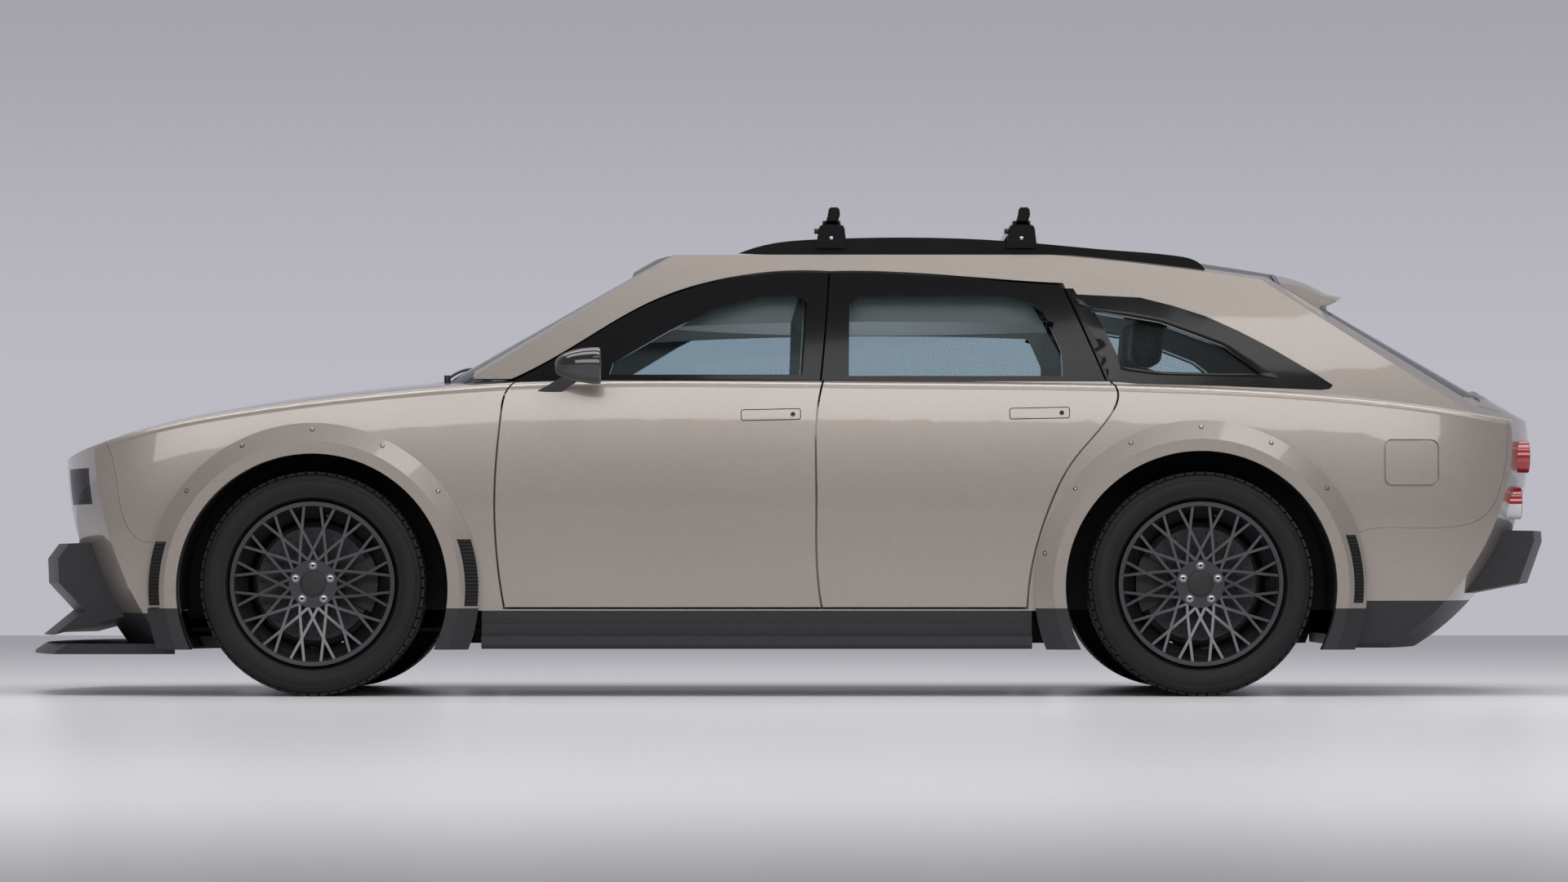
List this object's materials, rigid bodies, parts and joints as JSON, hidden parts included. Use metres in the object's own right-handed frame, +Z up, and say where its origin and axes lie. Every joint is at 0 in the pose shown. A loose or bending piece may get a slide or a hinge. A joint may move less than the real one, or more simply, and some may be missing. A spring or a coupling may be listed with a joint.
{
  "type": "station wagon",
  "caption": "Five-door station wagon with bolt-on arch flares, heavy bumper bars, side steps, a black roof with rails and a cross-bar rack, with opening doors, bonnet and tailgate.",
  "frame": {"origin": "on the ground, midway between the ends and the sides", "axes": "X along the car with the nose at -X, Y across with the left side at -Y, Z up"},
  "size_m": [5.2, 2.3, 1.5939],
  "materials": {
    "paint": "gloss",
    "black_gloss": "gloss",
    "dark_cladding": "satin",
    "rack_metal": "satin",
    "glazing": "clear",
    "lamp_lens": "clear",
    "lamp_red": "gloss",
    "tyre": "matte",
    "rim_metal": "satin",
    "chassis_steel": "matte",
    "liner_plastic": "matte",
    "seal_rubber": "matte",
    "cabin_plastic": "matte",
    "upholstery": "satin",
    "engine_metal": "rough"
  },
  "bodies": {
    "body": {"arch_flares": "dark_cladding", "arch_skirts": "dark_cladding", "body_sides": "paint", "bulkhead": "chassis_steel", "cowl": "dark_cladding", "dashboard": "cabin_plastic", "door_seals": "seal_rubber", "engine_block": "engine_metal", "floor_pan": "chassis_steel", "front_bumper": "dark_cladding", "front_seats": "upholstery", "front_splitter": "dark_cladding", "front_subframe": "chassis_steel", "front_wings": "paint", "grille": "black_gloss", "headlamps": "lamp_lens", "nose_panel": "paint", "quarter_windows": "glazing", "rear_axle": "chassis_steel", "rear_bench": "upholstery", "rear_bumper": "dark_cladding", "rear_bumper_cover": "paint", "rear_valance": "dark_cladding", "roof_panel": "black_gloss", "roof_rack": "rack_metal", "roof_rails": "black_gloss", "side_skirts": "dark_cladding", "side_steps": "dark_cladding", "slam_panel": "chassis_steel", "steering_wheel": "cabin_plastic", "tail_lamps": "lamp_red", "undertray": "liner_plastic", "wheel_liners": "liner_plastic", "windscreen": "glazing"},
    "wheel_front_left": {"tyre_front_left": "tyre", "rim_front_left": "rim_metal"},
    "wheel_front_right": {"tyre_front_right": "tyre", "rim_front_right": "rim_metal"},
    "wheel_rear_left": {"tyre_rear_left": "tyre", "rim_rear_left": "rim_metal"},
    "wheel_rear_right": {"tyre_rear_right": "tyre", "rim_rear_right": "rim_metal"},
    "steering_left": {"knuckle_left": "chassis_steel"},
    "steering_right": {"knuckle_right": "chassis_steel"},
    "door_front_left": {"front_door_left": "paint", "front_door_glass_left": "glazing", "mirror_left": "black_gloss"},
    "door_front_right": {"front_door_right": "paint", "front_door_glass_right": "glazing", "mirror_right": "black_gloss"},
    "door_rear_left": {"rear_door_left": "paint", "rear_door_glass_left": "glazing"},
    "door_rear_right": {"rear_door_right": "paint", "rear_door_glass_right": "glazing"},
    "bonnet_lid": {"bonnet": "paint"},
    "tailgate_lid": {"tailgate": "paint", "tailgate_glass": "glazing"},
    "fuel_flap_lid": {"fuel_flap": "paint"}
  },
  "joints": [
    {"name": "steer_left", "type": "hinge", "parent": "body", "child": "steering_left", "pos_m": [-1.577, -0.768, 0.373], "axis": [0, 0, 1], "range_deg": [-35, 35]},
    {"name": "steer_right", "type": "hinge", "parent": "body", "child": "steering_right", "pos_m": [-1.577, 0.768, 0.373], "axis": [0, 0, 1], "range_deg": [-35, 35]},
    {"name": "spin_front_left", "type": "hinge", "parent": "steering_left", "child": "wheel_front_left", "pos_m": [-1.577, -0.84, 0.373], "axis": [0, 1, 0], "continuous": true},
    {"name": "spin_rear_left", "type": "hinge", "parent": "body", "child": "wheel_rear_left", "pos_m": [1.369, -0.84, 0.373], "axis": [0, 1, 0], "continuous": true},
    {"name": "spin_front_right", "type": "hinge", "parent": "steering_right", "child": "wheel_front_right", "pos_m": [-1.577, 0.84, 0.373], "axis": [0, 1, 0], "continuous": true},
    {"name": "spin_rear_right", "type": "hinge", "parent": "body", "child": "wheel_rear_right", "pos_m": [1.369, 0.84, 0.373], "axis": [0, 1, 0], "continuous": true},
    {"name": "front_door_left", "type": "hinge", "parent": "body", "child": "door_front_left", "pos_m": [-0.963, -0.946, 0.7], "axis": [0, 0, -1], "range_deg": [0, 65]},
    {"name": "rear_door_left", "type": "hinge", "parent": "body", "child": "door_rear_left", "pos_m": [0.105, -0.948, 0.7], "axis": [0, 0, -1], "range_deg": [0, 65]},
    {"name": "front_door_right", "type": "hinge", "parent": "body", "child": "door_front_right", "pos_m": [-0.963, 0.946, 0.7], "axis": [0, 0, 1], "range_deg": [0, 65]},
    {"name": "rear_door_right", "type": "hinge", "parent": "body", "child": "door_rear_right", "pos_m": [0.105, 0.948, 0.7], "axis": [0, 0, 1], "range_deg": [0, 65]},
    {"name": "bonnet_hinge", "type": "hinge", "parent": "body", "child": "bonnet_lid", "pos_m": [-1.076, 0, 1.05], "axis": [0, 1, 0], "range_deg": [0, 60]},
    {"name": "tailgate_hinge", "type": "hinge", "parent": "body", "child": "tailgate_lid", "pos_m": [1.648, 0, 1.452], "axis": [0, -1, 0], "range_deg": [0, 80]},
    {"name": "fuel_flap_hinge", "type": "hinge", "parent": "body", "child": "fuel_flap_lid", "pos_m": [1.986, -0.928, 0.775], "axis": [0, 0, -1], "range_deg": [0, 80]}
  ],
  "couplings": [
    {"joint": "steer_right", "follows": "steer_left", "ratio": 1}
  ]
}
